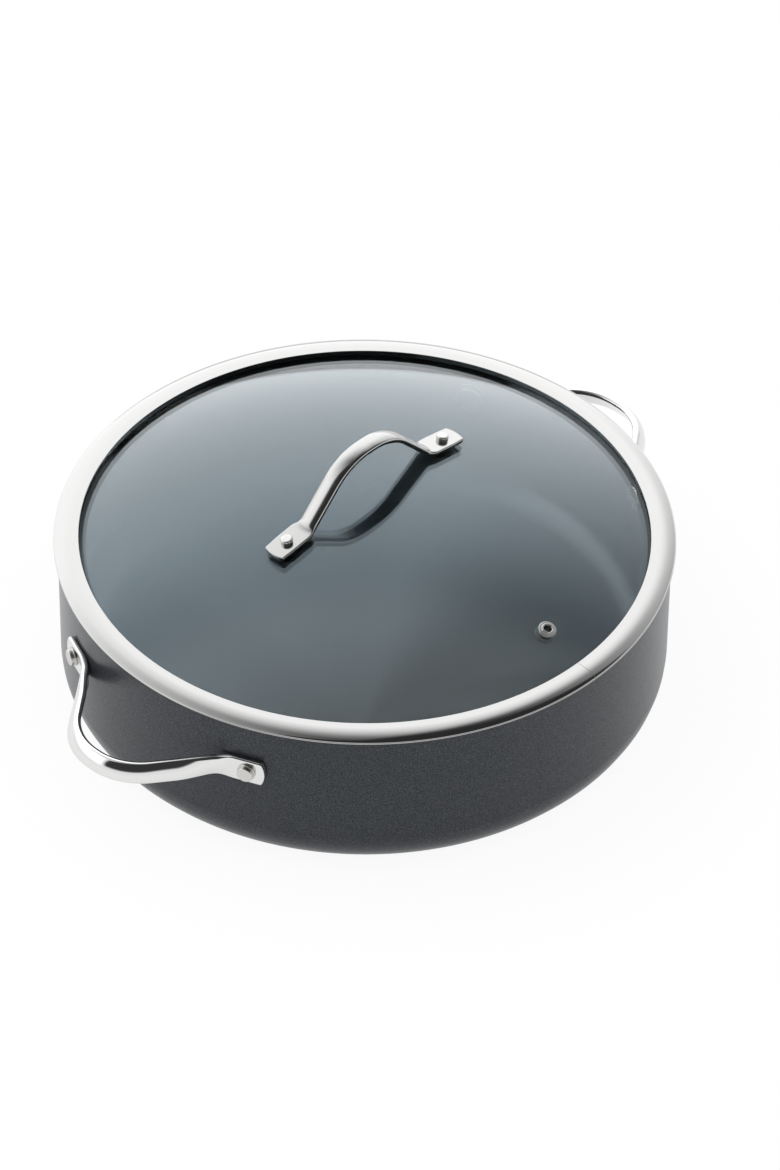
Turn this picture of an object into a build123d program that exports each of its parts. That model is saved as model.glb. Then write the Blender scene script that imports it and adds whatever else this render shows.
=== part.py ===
from build123d import *
import math
import os

os.makedirs("parts", exist_ok=True)

# Covered saute pan, built round the middle of its base.
# The base stands on Z = 0, the two side handles reach along X and the
# steam vent of the lid is on the -Y side. All lengths are in millimetres.

# Pan: one drawn and hard-anodised aluminium body
pan_inner_radius = 150.0
wall_thickness = 3.0
pan_height = 87.0
base_thickness = 5.0
heel_radius = 22.5
rim_rounding = 0.6

# Steel plate pressed into the underside of the base
plate_inset = 35.0
plate_thickness = 1.2
plate_gap = 0.15
plate_edge_rounding = 0.4
groove_count = 5
groove_width = 1.6
groove_depth = 0.25
groove_first_radius = 24.0

# Clearances between neighbours
seat_gap = 0.1
shank_gap = 0.15
overrun = 5.0

# Side handles: a steel strap bent round in plan, riveted at both tabs
handle_height = 60.2
handle_thickness = 3.0
handle_rivet_half_spacing = 60.0
handle_tab_gap = 0.15
handle_tab_width = 14.0
handle_tab_overhang = 9.3
handle_tab_end_radius = 12.0
handle_neck_width = 11.2
handle_loop_width = 10.6
handle_crown = 1.4
handle_tab_crown = 0.05
handle_corner_rounding = 1.2
handle_bend_run = 13.8
handle_bend_radius = 19.0
handle_loop_depth = 35.4
handle_loop_drop = 1.15
handle_loop_corner_half = 16.9
handle_loop_radius = 31.5
handle_bend_tilt = 22.0
handle_tilt_run = 20.0
handle_loop_tilt = 30.0
handle_shoulder_run = 9.5

# Side handle rivets
rivet_shank_radius = 2.6
rivet_head_radius = 4.1
rivet_head_height = 2.9
rivet_head_dome = 0.5
rivet_collar_radius = 4.7
rivet_collar_height = 0.8
rivet_collar_rounding = 0.25
rivet_inner_radius = 6.5
rivet_inner_height = 2.2
rivet_inner_rounding = 1.2

# Lid glass: a tempered dome of one curvature
lip_inset = 7.5
glass_rise = 29.6
glass_thickness = 4.0
glass_edge_rounding = 0.8

# Steel band rolled round the glass edge
brim_overhang = 2.0
band_sheet = 0.7
lip_top = 2.9
brim_edge_height = 0.75
brim_bead = 0.45
brim_hem_depth = 2.1
crown_corner_share = 0.5
crown_radius = 30.0
band_rounding = 0.3
skirt_gap = 0.8
band_flange_inset = 1.5

# Plastic liner between glass and band
liner_thickness = 0.7
liner_edge_wall = 1.0
liner_inset = 1.1

# Lid handle: a steel strap bent up into an arch, riveted at both tabs
lid_rivet_radius = 54.7
lid_tab_lift = 1.3
lid_strap_thickness = 2.4
lid_strap_crown = 1.0
lid_tab_crown = 0.05
lid_strap_rounding = 0.7
lid_tab_overhang = 10.4
lid_tab_end_radius = 16.0
lid_tab_end_width = 12.6
lid_tab_width = 13.2
lid_strap_width = 9.8
lid_shoulder_run = 9.4
lid_neck_run = 6.0
arch_foot_half = 41.0
arch_foot_radius = 7.0
arch_corner_half = 14.9
arch_radius = 31.0
arch_height = 144.3

# Lid handle studs, gaskets and washers
stud_shank_radius = 2.4
stud_head_radius = 3.05
stud_head_height = 2.6
stud_head_dome = 0.9
stud_foot_radius = 4.2
stud_foot_height = 1.6
stud_foot_rounding = 0.6
lid_hole_radius = 3.6
gasket_radius = 5.0
gasket_rounding = 0.3
lower_gasket_radius = 7.0
lower_gasket_thickness = 1.2
lower_washer_radius = 6.4
lower_washer_thickness = 1.0
washer_rounding = 0.25

# Steam vent: a steel eyelet clenched through the glass
vent_inset = 22.1
vent_azimuth = -88.7
vent_hole_radius = 3.7
eyelet_bore_radius = 2.05
eyelet_tube_wall = 0.55
eyelet_flange_radius = 4.5
eyelet_flange_thickness = 0.75
eyelet_ring_radius = 3.1
eyelet_ring_height = 0.6
eyelet_foot_radius = 3.9
eyelet_rounding = 0.25
vent_gasket_radius = 4.1
vent_gasket_thickness = 0.9
vent_lower_gasket_radius = 5.2
vent_lower_washer_radius = 4.9
vent_lower_washer_thickness = 0.7

# How finely the bent straps follow their paths
strap_sections = 41

# Sizes that follow from the ones above
pan_outer_radius = pan_inner_radius + wall_thickness
floor_rounding = heel_radius - wall_thickness
plate_radius = pan_outer_radius - plate_inset
tab_inner_distance = pan_outer_radius + handle_tab_gap
tab_outer_distance = tab_inner_distance + handle_thickness + handle_tab_crown
tab_middle_distance = tab_inner_distance + handle_thickness / 2
handle_rivet_angle = math.degrees(math.asin(handle_rivet_half_spacing / tab_outer_distance))

lip_radius = pan_inner_radius - lip_inset
brim_radius = pan_outer_radius + brim_overhang
skirt_outer_radius = pan_inner_radius - skirt_gap
skirt_inner_radius = skirt_outer_radius - band_sheet
band_flange_inner_radius = lip_radius + band_flange_inset
liner_inner_radius = lip_radius + liner_inset
liner_outer_radius = skirt_inner_radius - seat_gap
glass_edge_radius = liner_outer_radius - liner_edge_wall - seat_gap
vent_radius = lip_radius - vent_inset
dome_radius = (lip_radius**2 + glass_rise**2) / (2 * glass_rise)
glass_apex = pan_height + glass_rise
dome_centre = glass_apex - dome_radius

liner_top_offset = seat_gap + liner_thickness
liner_bottom_offset = -glass_thickness - seat_gap - liner_thickness
flange_offset = liner_bottom_offset - seat_gap

tab_top = lid_tab_lift + lid_strap_thickness + lid_tab_crown
gasket_under = -glass_thickness - seat_gap
lower_washer_top = gasket_under - lower_gasket_thickness
stud_foot_top = lower_washer_top - lower_washer_thickness

eyelet_tube_radius = eyelet_bore_radius + eyelet_tube_wall
eyelet_flange_bottom = seat_gap + vent_gasket_thickness
vent_washer_top = gasket_under - vent_gasket_thickness
vent_foot_top = vent_washer_top - vent_lower_washer_thickness


def turned(corners):
    """Turn a closed outline about Z. Each corner is (radius, height, rounding)."""
    points = [(radius, 0, height) for radius, height, rounding in corners]
    roundings = [rounding for radius, height, rounding in corners]
    outline = FilletPolyline(*points, radius=roundings, close=True)
    return revolve(make_face(outline), Axis.Z)


def ring(inner, outer, bottom, top, rounding=0):
    """A flat ring with rounded outer edges."""
    return turned([
        (inner, bottom, 0),
        (outer, bottom, rounding),
        (outer, top, rounding),
        (inner, top, 0),
    ])


def dome_height(radius, offset):
    """Height, at a radius, of the sphere lying offset above the outer glass face."""
    return dome_centre + math.sqrt((dome_radius + offset) ** 2 - radius**2)


def dome_arc(start_radius, end_radius, offset):
    """Arc of that sphere in the XZ plane, between two radii."""
    middle_radius = (start_radius + end_radius) / 2
    places = (start_radius, middle_radius, end_radius)
    return ThreePointArc(*[(radius, 0, dome_height(radius, offset)) for radius in places])


def glass_plane(radius, azimuth):
    """Plane on the outer glass face, its Z along the glass normal."""
    lean = math.degrees(math.asin(radius / dome_radius))
    turn = Rotation(0, 0, azimuth)
    spot = Pos(radius, 0, dome_height(radius, 0)) * Rotation(0, lean, 0)
    return Plane(turn * spot)


def smooth_blend(distance, stops):
    """Value at a distance, easing from each (distance, value) stop to the next."""
    if distance <= stops[0][0]:
        return stops[0][1]
    for (start, first), (end, second) in zip(stops, stops[1:]):
        if distance <= end:
            share = (distance - start) / (end - start)
            ease = share * share * (3 - 2 * share)
            return first + (second - first) * ease
    return stops[-1][1]


def strap_section(plane, width, thickness, crown, rounding, tilt):
    """Cross-section of a strap: flat inside, crowned outside, rounded edges.

    The plane's X points to the outside of the bend and its Y along the width.
    """
    inner, outer = -thickness / 2, thickness / 2
    half = width / 2
    edges = (
        Line((outer, -half), (inner, -half))
        + Line((inner, -half), (inner, half))
        + Line((inner, half), (outer, half))
        + ThreePointArc((outer, half), (outer + crown, 0), (outer, -half))
    )
    face = make_face(edges)
    face = fillet(face.vertices(), rounding)
    return plane * Rotation(0, 0, tilt) * face


def bent_strap(path, outward, thickness, rounding, widths, crowns, tilts, drops):
    """Loft a strap along a path that is the same from both ends.

    widths, crowns, tilts and drops are stops of (distance from the nearer end,
    value), and outward turns a tangent of the path into the outside of the bend.
    """
    sections = []
    for step in range(strap_sections):
        share = step / (strap_sections - 1)
        distance = min(share, 1 - share) * path.length
        tangent = path % share
        middle = path @ share - Vector(0, 0, smooth_blend(distance, drops))
        plane = Plane(middle, x_dir=outward(tangent), z_dir=tangent)
        width = smooth_blend(distance, widths)
        crown = smooth_blend(distance, crowns)
        tilt = smooth_blend(distance, tilts)
        sections.append(strap_section(plane, width, thickness, crown, rounding, tilt))
    return loft(sections)


def rounded_tab_end(plane, reach, end_radius, width):
    """What is cut away beyond a tab's rounded end.

    The plane lies on the tab at its rivet, X along the tab to its end.
    """
    block = Box(
        end_radius + overrun, width + overrun, width,
        align=(Align.MIN, Align.CENTER, Align.CENTER),
    )
    core = Cylinder(end_radius, width + overrun)
    centre = reach - end_radius
    side = math.sqrt(max(end_radius**2 - (width / 2) ** 2, 0))
    return plane.location * (Pos(centre + side, 0, 0) * block - Pos(centre, 0, 0) * core)


# Pan body
def make_pan_body():
    wall = turned([
        (0, plate_thickness, 0),
        (plate_radius + plate_gap, plate_thickness, 0),
        (plate_radius + plate_gap, 0, plate_edge_rounding),
        (pan_outer_radius, 0, heel_radius),
        (pan_outer_radius, pan_height, rim_rounding),
        (pan_inner_radius, pan_height, rim_rounding),
        (pan_inner_radius, base_thickness, floor_rounding),
        (0, base_thickness, 0),
    ])
    hole_length = 2 * (handle_thickness + wall_thickness + overrun)
    for plane in rivet_planes():
        wall -= plane.location * Cylinder(rivet_shank_radius + shank_gap, hole_length)
    return wall


# Base plate, with turned grooves in its standing face
def make_base_plate():
    plate = turned([
        (0, 0, 0),
        (plate_radius, 0, plate_edge_rounding),
        (plate_radius, plate_thickness, 0),
        (0, plate_thickness, 0),
    ])
    pitch = (plate_radius - groove_first_radius) / groove_count
    for number in range(groove_count):
        inner = groove_first_radius + number * pitch
        plate -= ring(inner, inner + groove_width, -overrun, groove_depth)
    return plate


# Side handles and their rivets
def rivet_plane(azimuth):
    """Plane on the outer face of the tab riveted at this azimuth."""
    normal = Vector(1, 0, 0).rotate(Axis.Z, azimuth)
    centre = normal * tab_outer_distance + Vector(0, 0, handle_height)
    along = Vector(0, 1, 0).rotate(Axis.Z, azimuth)
    return Plane(centre, x_dir=along, z_dir=normal)


def rivet_azimuths(side_azimuth):
    return (side_azimuth - handle_rivet_angle, side_azimuth + handle_rivet_angle)


def rivet_planes():
    return [rivet_plane(azimuth) for side in (0, 180) for azimuth in rivet_azimuths(side)]


def make_side_handle():
    lean = math.radians(handle_rivet_angle)
    across = Vector(math.cos(lean), math.sin(lean), 0)
    along = Vector(-math.sin(lean), math.cos(lean), 0)
    lift = Vector(0, 0, handle_height)
    tab_end = across * tab_middle_distance + along * handle_tab_overhang
    bend = across * tab_middle_distance - along * handle_bend_run
    corner = Vector(pan_outer_radius + handle_loop_depth, handle_loop_corner_half, 0)
    half = [tab_end, bend, corner]
    mirrored = [Vector(point.X, -point.Y, 0) for point in reversed(half)]
    points = [point + lift for point in half + mirrored]
    radii = [handle_bend_radius, handle_loop_radius, handle_loop_radius, handle_bend_radius]
    path = FilletPolyline(*points, radius=radii)
    shoulder = handle_tab_overhang + handle_bend_run / 2
    neck = shoulder + handle_shoulder_run
    middle = path.length / 2
    strap = bent_strap(
        path,
        lambda tangent: Vector(0, 0, 1).cross(tangent),
        handle_thickness,
        handle_corner_rounding,
        [(shoulder, handle_tab_width), (neck, handle_neck_width), (middle, handle_loop_width)],
        [(shoulder, handle_tab_crown), (neck, handle_crown)],
        [(neck, 0), (neck + handle_tilt_run, handle_bend_tilt), (middle, handle_loop_tilt)],
        [(neck, 0), (neck + handle_tilt_run, handle_loop_drop)],
    )
    for azimuth, direction in ((handle_rivet_angle, 0), (-handle_rivet_angle, 180)):
        plane = rivet_plane(azimuth)
        tab_plane = Plane(plane.location * Rotation(0, 0, direction))
        strap -= rounded_tab_end(
            tab_plane, handle_tab_overhang, handle_tab_end_radius, handle_tab_width,
        )
        strap -= plane.location * Cylinder(rivet_shank_radius + shank_gap, handle_tab_width)
    return strap


def make_side_rivet():
    """One rivet, its Z = 0 on the outer face of the tab."""
    inner_face = math.sqrt(pan_inner_radius**2 - rivet_inner_radius**2) - seat_gap
    inner_top = inner_face - tab_outer_distance
    return turned([
        (0, inner_top - rivet_inner_height, 0),
        (rivet_inner_radius, inner_top - rivet_inner_height, rivet_inner_rounding),
        (rivet_inner_radius, inner_top, 0),
        (rivet_shank_radius, inner_top, 0),
        (rivet_shank_radius, seat_gap, 0),
        (rivet_collar_radius, seat_gap, 0),
        (rivet_collar_radius, rivet_collar_height, rivet_collar_rounding),
        (rivet_head_radius, rivet_collar_height, 0),
        (rivet_head_radius, rivet_head_height, rivet_head_dome),
        (0, rivet_head_height, 0),
    ])


# Lid glass
def make_lid_glass():
    edge_top = dome_height(glass_edge_radius, 0)
    edge_bottom = dome_height(glass_edge_radius, -glass_thickness)
    outline = (
        dome_arc(0, glass_edge_radius, 0)
        + Line((glass_edge_radius, 0, edge_top), (glass_edge_radius, 0, edge_bottom))
        + dome_arc(glass_edge_radius, 0, -glass_thickness)
        + Line((0, 0, glass_apex - glass_thickness), (0, 0, glass_apex))
    )
    section = make_face(outline)
    section = fillet(section.vertices().sort_by(Axis.X)[-2:], glass_edge_rounding)
    glass = revolve(section, Axis.Z)
    for azimuth in (0, 180):
        plane = glass_plane(lid_rivet_radius, azimuth)
        glass -= plane.location * Cylinder(lid_hole_radius, glass_thickness + overrun)
    vent = glass_plane(vent_radius, vent_azimuth)
    glass -= vent.location * Cylinder(vent_hole_radius, glass_thickness + overrun)
    return glass


# Plastic liner, a channel round the glass edge
def make_rim_liner():
    inner = liner_inner_radius
    outer = liner_outer_radius
    edge = glass_edge_radius + seat_gap
    glass_side = seat_gap
    under_side = -glass_thickness - seat_gap
    outline = (
        dome_arc(inner, outer, liner_top_offset)
        + Line(
            (outer, 0, dome_height(outer, liner_top_offset)),
            (outer, 0, dome_height(outer, liner_bottom_offset)),
        )
        + dome_arc(outer, inner, liner_bottom_offset)
        + Line(
            (inner, 0, dome_height(inner, liner_bottom_offset)),
            (inner, 0, dome_height(inner, under_side)),
        )
        + dome_arc(inner, edge, under_side)
        + Line((edge, 0, dome_height(edge, under_side)), (edge, 0, dome_height(edge, glass_side)))
        + dome_arc(edge, inner, glass_side)
        + Line(
            (inner, 0, dome_height(inner, glass_side)),
            (inner, 0, dome_height(inner, liner_top_offset)),
        )
    )
    return revolve(make_face(outline), Axis.Z)


# Steel rim band: lip, crowned brim, hem, seat, skirt and lower flange in one sheet
def make_rim_band():
    seat = pan_height
    crown_corner = lip_radius + (brim_radius - lip_radius) * crown_corner_share
    bead_radius = brim_radius - brim_bead
    flange_inner = dome_height(band_flange_inner_radius, flange_offset)
    flange_outer = dome_height(skirt_inner_radius, flange_offset)
    cavity_end = bead_radius - brim_hem_depth
    return turned([
        (lip_radius, dome_height(lip_radius, seat_gap), 0),
        (lip_radius, seat + lip_top, band_rounding),
        (crown_corner, seat + lip_top, crown_radius),
        (bead_radius, seat + brim_edge_height, 0),
        (brim_radius, seat + brim_edge_height, band_rounding),
        (brim_radius, seat, band_rounding),
        (skirt_outer_radius, seat, 0),
        (skirt_outer_radius, flange_outer - band_sheet, band_rounding),
        (band_flange_inner_radius, flange_inner - band_sheet, 0),
        (band_flange_inner_radius, flange_inner, 0),
        (skirt_inner_radius, flange_outer, 0),
        (skirt_inner_radius, seat + band_sheet, 0),
        (cavity_end, seat + band_sheet, 0),
        (crown_corner, seat + lip_top - band_sheet, 0),
        (lip_radius + band_sheet, seat + lip_top - band_sheet, 0),
        (lip_radius + band_sheet, dome_height(lip_radius + band_sheet, seat_gap), 0),
    ])


# Lid handle
def make_lid_handle():
    lean = math.asin(lid_rivet_radius / dome_radius)
    outward = Vector(math.cos(lean), 0, -math.sin(lean))
    normal = Vector(math.sin(lean), 0, math.cos(lean))
    glass_spot = Vector(lid_rivet_radius, 0, dome_height(lid_rivet_radius, 0))
    tab_middle = glass_spot + normal * (lid_tab_lift + lid_strap_thickness / 2)
    foot_run = (lid_rivet_radius - arch_foot_half) / math.cos(lean)
    tab_end = tab_middle + outward * lid_tab_overhang
    foot = tab_middle - outward * foot_run
    corner = Vector(arch_corner_half, 0, arch_height)
    half = [tab_end, foot, corner]
    mirrored = [Vector(-point.X, 0, point.Z) for point in reversed(half)]
    radii = [arch_foot_radius, arch_radius, arch_radius, arch_foot_radius]
    path = FilletPolyline(*(half + mirrored), radius=radii)
    shoulder = lid_tab_overhang + lid_shoulder_run
    neck = shoulder + lid_neck_run
    strap = bent_strap(
        path,
        lambda tangent: tangent.cross(Vector(0, 1, 0)) * -1,
        lid_strap_thickness,
        lid_strap_rounding,
        [
            (0, lid_tab_end_width),
            (lid_tab_overhang, lid_tab_width),
            (shoulder, lid_tab_width),
            (neck, lid_strap_width),
        ],
        [(shoulder, lid_tab_crown), (neck, lid_strap_crown)],
        [(neck, 0)],
        [(neck, 0)],
    )
    for azimuth in (0, 180):
        plane = glass_plane(lid_rivet_radius, azimuth)
        strap -= rounded_tab_end(plane, lid_tab_overhang, lid_tab_end_radius, lid_tab_width)
        strap -= plane.location * Cylinder(stud_shank_radius + shank_gap, lid_tab_width)
    return strap


# Lid handle hardware, each piece with its Z = 0 on the outer glass face
def make_stud():
    return turned([
        (0, stud_foot_top - stud_foot_height, 0),
        (stud_foot_radius, stud_foot_top - stud_foot_height, stud_foot_rounding),
        (stud_foot_radius, stud_foot_top, 0),
        (stud_shank_radius, stud_foot_top, 0),
        (stud_shank_radius, tab_top, 0),
        (stud_head_radius, tab_top, 0),
        (stud_head_radius, tab_top + stud_head_height, stud_head_dome),
        (0, tab_top + stud_head_height, 0),
    ])


def make_upper_gasket():
    """Gasket under the tab, with a sleeve that lines the hole in the glass."""
    bore = stud_shank_radius + shank_gap
    sleeve = lid_hole_radius - shank_gap
    top = lid_tab_lift - seat_gap
    return turned([
        (bore, -glass_thickness, 0),
        (sleeve, -glass_thickness, 0),
        (sleeve, seat_gap, 0),
        (gasket_radius, seat_gap, gasket_rounding),
        (gasket_radius, top, gasket_rounding),
        (bore, top, 0),
    ])


def make_lower_gasket():
    bore = stud_shank_radius + shank_gap
    return ring(bore, lower_gasket_radius, lower_washer_top, gasket_under, gasket_rounding)


def make_lower_washer():
    bore = stud_shank_radius + shank_gap
    return ring(bore, lower_washer_radius, stud_foot_top, lower_washer_top, washer_rounding)


# Steam vent hardware, on the same kind of plane
def make_vent_eyelet():
    flange_top = eyelet_flange_bottom + eyelet_flange_thickness
    foot_bottom = vent_foot_top - eyelet_tube_wall
    return turned([
        (eyelet_bore_radius, foot_bottom, 0),
        (eyelet_foot_radius, foot_bottom, 0),
        (eyelet_foot_radius, vent_foot_top, 0),
        (eyelet_tube_radius, vent_foot_top, 0),
        (eyelet_tube_radius, eyelet_flange_bottom, 0),
        (eyelet_flange_radius, eyelet_flange_bottom, eyelet_rounding),
        (eyelet_flange_radius, flange_top, eyelet_rounding),
        (eyelet_ring_radius, flange_top, eyelet_rounding),
        (eyelet_ring_radius, flange_top + eyelet_ring_height, eyelet_rounding),
        (eyelet_bore_radius, flange_top + eyelet_ring_height, eyelet_rounding),
    ])


def make_vent_gasket():
    bore = eyelet_tube_radius + shank_gap
    sleeve = vent_hole_radius - shank_gap
    return turned([
        (bore, -glass_thickness, 0),
        (sleeve, -glass_thickness, 0),
        (sleeve, seat_gap, 0),
        (vent_gasket_radius, seat_gap, gasket_rounding),
        (vent_gasket_radius, eyelet_flange_bottom, gasket_rounding),
        (bore, eyelet_flange_bottom, 0),
    ])


def make_vent_lower_gasket():
    bore = eyelet_tube_radius + shank_gap
    return ring(bore, vent_lower_gasket_radius, vent_washer_top, gasket_under, gasket_rounding)


def make_vent_lower_washer():
    bore = eyelet_tube_radius + shank_gap
    return ring(
        bore, vent_lower_washer_radius, vent_foot_top, vent_washer_top, washer_rounding,
    )


# The whole assembly, node by node
nodes = {
    "pan_body": make_pan_body(),
    "induction_base_plate": make_base_plate(),
    "lid_glass": make_lid_glass(),
    "lid_rim_band": make_rim_band(),
    "lid_rim_liner": make_rim_liner(),
    "lid_handle": make_lid_handle(),
}

side_handle = make_side_handle()
side_rivet = make_side_rivet()
for side_name, side_azimuth in (("right", 0), ("left", 180)):
    nodes[f"side_handle_{side_name}"] = Rotation(0, 0, side_azimuth) * side_handle
    for end_name, azimuth in zip(("a", "b"), rivet_azimuths(side_azimuth)):
        nodes[f"side_handle_{side_name}_rivet_{end_name}"] = rivet_plane(azimuth).location * side_rivet

lid_hardware = {
    "rivet": make_stud(),
    "upper_gasket": make_upper_gasket(),
    "lower_gasket": make_lower_gasket(),
    "lower_washer": make_lower_washer(),
}
for side_name, azimuth in (("right", 0), ("left", 180)):
    plane = glass_plane(lid_rivet_radius, azimuth)
    for piece_name, piece in lid_hardware.items():
        nodes[f"lid_handle_{side_name}_{piece_name}"] = plane.location * piece

vent_hardware = {
    "eyelet": make_vent_eyelet(),
    "gasket": make_vent_gasket(),
    "lower_gasket": make_vent_lower_gasket(),
    "lower_washer": make_vent_lower_washer(),
}
vent_plane = glass_plane(vent_radius, vent_azimuth)
for piece_name, piece in vent_hardware.items():
    nodes[f"steam_vent_{piece_name}"] = vent_plane.location * piece

for node_name, solid in nodes.items():
    export_step(solid, f"parts/{node_name}.step")
    print(node_name, round(solid.volume), solid.bounding_box().size)
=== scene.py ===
# %% [markdown]
# # A saute pan with its glass lid
# A wide dark pan of hard-anodised aluminium, with two bent steel handles on its sides. A domed glass
# lid with a steel rim lies on it, and the lid has a steel strap for a handle and a small steam vent.
# The CAD frame is loaded first. Every piece goes where the frame says, in metres, with Z up.

# %% Load the frame
import math
import bpy
from mathutils import Matrix, Vector


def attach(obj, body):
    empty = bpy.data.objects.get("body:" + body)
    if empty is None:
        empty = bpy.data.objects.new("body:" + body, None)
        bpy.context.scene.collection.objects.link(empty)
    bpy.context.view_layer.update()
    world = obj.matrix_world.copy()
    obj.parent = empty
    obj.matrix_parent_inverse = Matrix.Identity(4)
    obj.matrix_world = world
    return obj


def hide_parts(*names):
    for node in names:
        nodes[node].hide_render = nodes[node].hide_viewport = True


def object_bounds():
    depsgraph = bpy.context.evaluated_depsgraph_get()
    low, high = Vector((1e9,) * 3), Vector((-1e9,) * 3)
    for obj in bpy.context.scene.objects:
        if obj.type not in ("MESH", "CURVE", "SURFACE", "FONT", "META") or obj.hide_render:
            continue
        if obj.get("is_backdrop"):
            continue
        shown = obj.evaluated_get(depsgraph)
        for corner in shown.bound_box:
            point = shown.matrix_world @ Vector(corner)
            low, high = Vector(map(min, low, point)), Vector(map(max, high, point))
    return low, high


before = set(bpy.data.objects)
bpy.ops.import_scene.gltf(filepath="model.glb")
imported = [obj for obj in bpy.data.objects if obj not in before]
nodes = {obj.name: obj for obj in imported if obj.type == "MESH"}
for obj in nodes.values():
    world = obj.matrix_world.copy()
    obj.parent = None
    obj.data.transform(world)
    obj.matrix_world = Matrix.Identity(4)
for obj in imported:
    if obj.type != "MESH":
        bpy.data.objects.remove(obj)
cad_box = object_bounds()
MM = 0.001
print("CAD nodes:", len(nodes))

# %% [markdown]
# ## The camera
# The photograph was taken from about 40 degrees above, with a long lens. A long lens keeps the round
# rim an even ellipse. The camera is placed on a circle round the pan, at the height of the rim, and
# then nudged by small turns so that the pan sits in the frame as it does in the photograph.

# %% Camera
rim_height = 87.4 * MM
camera_distance = 2988.945 * MM
camera_rise = 0.706924786
camera_turn = 0.80767079
camera_yaw = -0.00424617
camera_pitch = -0.00845337
camera_roll = -0.00816976
focal_pixels = 6000
photo_height = 1170
sensor_size = 36

spot = Vector((0, -math.cos(camera_rise), math.sin(camera_rise))) * camera_distance
forward = -spot.normalized()
right = Vector((1, 0, 0))
up = right.cross(forward)
yaw = Matrix.Rotation(camera_yaw, 3, up)
forward, right = yaw @ forward, yaw @ right
pitch = Matrix.Rotation(camera_pitch, 3, right)
forward, up = pitch @ forward, pitch @ up
roll = Matrix.Rotation(camera_roll, 3, forward)
right, up = roll @ right, roll @ up
look = Matrix((right, up, -forward)).transposed()
turn = Matrix.Rotation(-camera_turn, 3, "Z")
camera_data = bpy.data.cameras.new("camera")
camera_data.sensor_width = sensor_size
camera_data.lens = focal_pixels * sensor_size / photo_height
camera_data.clip_end = 50
camera = bpy.data.objects.new("camera", camera_data)
place = turn @ spot + Vector((0, 0, rim_height))
camera.matrix_world = Matrix.Translation(place) @ (turn @ look).to_4x4()
bpy.context.scene.collection.objects.link(camera)
bpy.context.scene.camera = camera
print("camera at", [round(value, 3) for value in place], "lens", round(camera_data.lens, 1))

# %% [markdown]
# ## Node trees
# A material is a small graph of nodes. Helpers keep the graphs readable: one adds a node, sets its
# values and wires its inputs, and the others are calculations that are needed again and again.

# %% Node helpers
def add(tree, kind, values=None, **settings):
    """Add a node, set its properties, then its input sockets by name or number."""
    node = tree.nodes.new(kind)
    for name, value in settings.items():
        setattr(node, name, value)
    for key, value in (values or {}).items():
        if isinstance(value, bpy.types.NodeSocket):
            tree.links.new(value, node.inputs[key])
        else:
            node.inputs[key].default_value = value
    return node


def maths(tree, operation, first, second=0.0, third=0.0, clamp=False):
    """One Math node, and its result."""
    values = {0: first, 1: second, 2: third}
    return add(tree, "ShaderNodeMath", values, operation=operation, use_clamp=clamp).outputs[0]


def times(tree, first, second):
    return maths(tree, "MULTIPLY", first, second)


def minus(tree, first, second, clamp=False):
    return maths(tree, "SUBTRACT", first, second, clamp=clamp)


def ease(tree, value, start, end, low=0.0, high=1.0):
    """Smooth step of a value from low to high."""
    values = {0: value, "From Min": start, "From Max": end, "To Min": low, "To Max": high}
    return add(tree, "ShaderNodeMapRange", values, interpolation_type="SMOOTHSTEP").outputs[0]


# %% [markdown]
# ## Soft studio light
# Glass and polished steel show the room more than themselves. The room here is a sky painted by
# direction: a wide bright wall behind the pan and to the left, dimmer to the right, that fades slowly
# up to overhead, and behind the camera a low strip with darkness above. It is smooth, so no lamp shape
# shows in the steel. The glass mirrors only a small part of the wall, so the wall is nearly twice as
# bright as white paper, and the steels are written darker than they show. Rays straight from the
# camera and rays from dull surfaces meet plain white, so dull colours show about as they are written.

# %% World
def dot(tree, vector, fixed):
    node = add(tree, "ShaderNodeVectorMath", {0: vector, 1: fixed}, operation="DOT_PRODUCT")
    return node.outputs["Value"]


def between(tree, factor, low, high):
    """Number between two numbers."""
    return maths(tree, "ADD", low, times(tree, factor, minus(tree, high, low)))


def heading(degrees):
    """Level direction at an angle from straight ahead of the camera, to the right."""
    swing = camera_turn + math.radians(degrees)
    return (math.sin(swing), math.cos(swing), 0)


wall_level = 1.95
side_level = 0.68
near_level = 1.0
dark_level = 0.045
wall_heading = -27
ahead_foot, left_foot, behind_foot = [math.radians(angle) for angle in (33, 14, 10)]
ahead_top, right_top, behind_top = [math.radians(angle) for angle in (98, 77, 22)]
strip_top, strip_foot = math.radians(24), math.radians(2)
world = bpy.data.worlds.new("studio")
bpy.context.scene.world = world
world.use_nodes = True
sky = world.node_tree
sky.nodes.clear()
way = add(sky, "ShaderNodeTexCoord").outputs["Generated"]
height = add(sky, "ShaderNodeSeparateXYZ", {0: way}).outputs[2]
level_square = minus(sky, 1.0, times(sky, height, height), clamp=True)
level_length = maths(sky, "MAXIMUM", maths(sky, "SQRT", level_square), 0.001)
elevation = maths(sky, "ARCSINE", height)
ahead = maths(sky, "DIVIDE", dot(sky, way, heading(wall_heading)), level_length)
aside = maths(sky, "DIVIDE", dot(sky, way, heading(90)), level_length)
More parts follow.
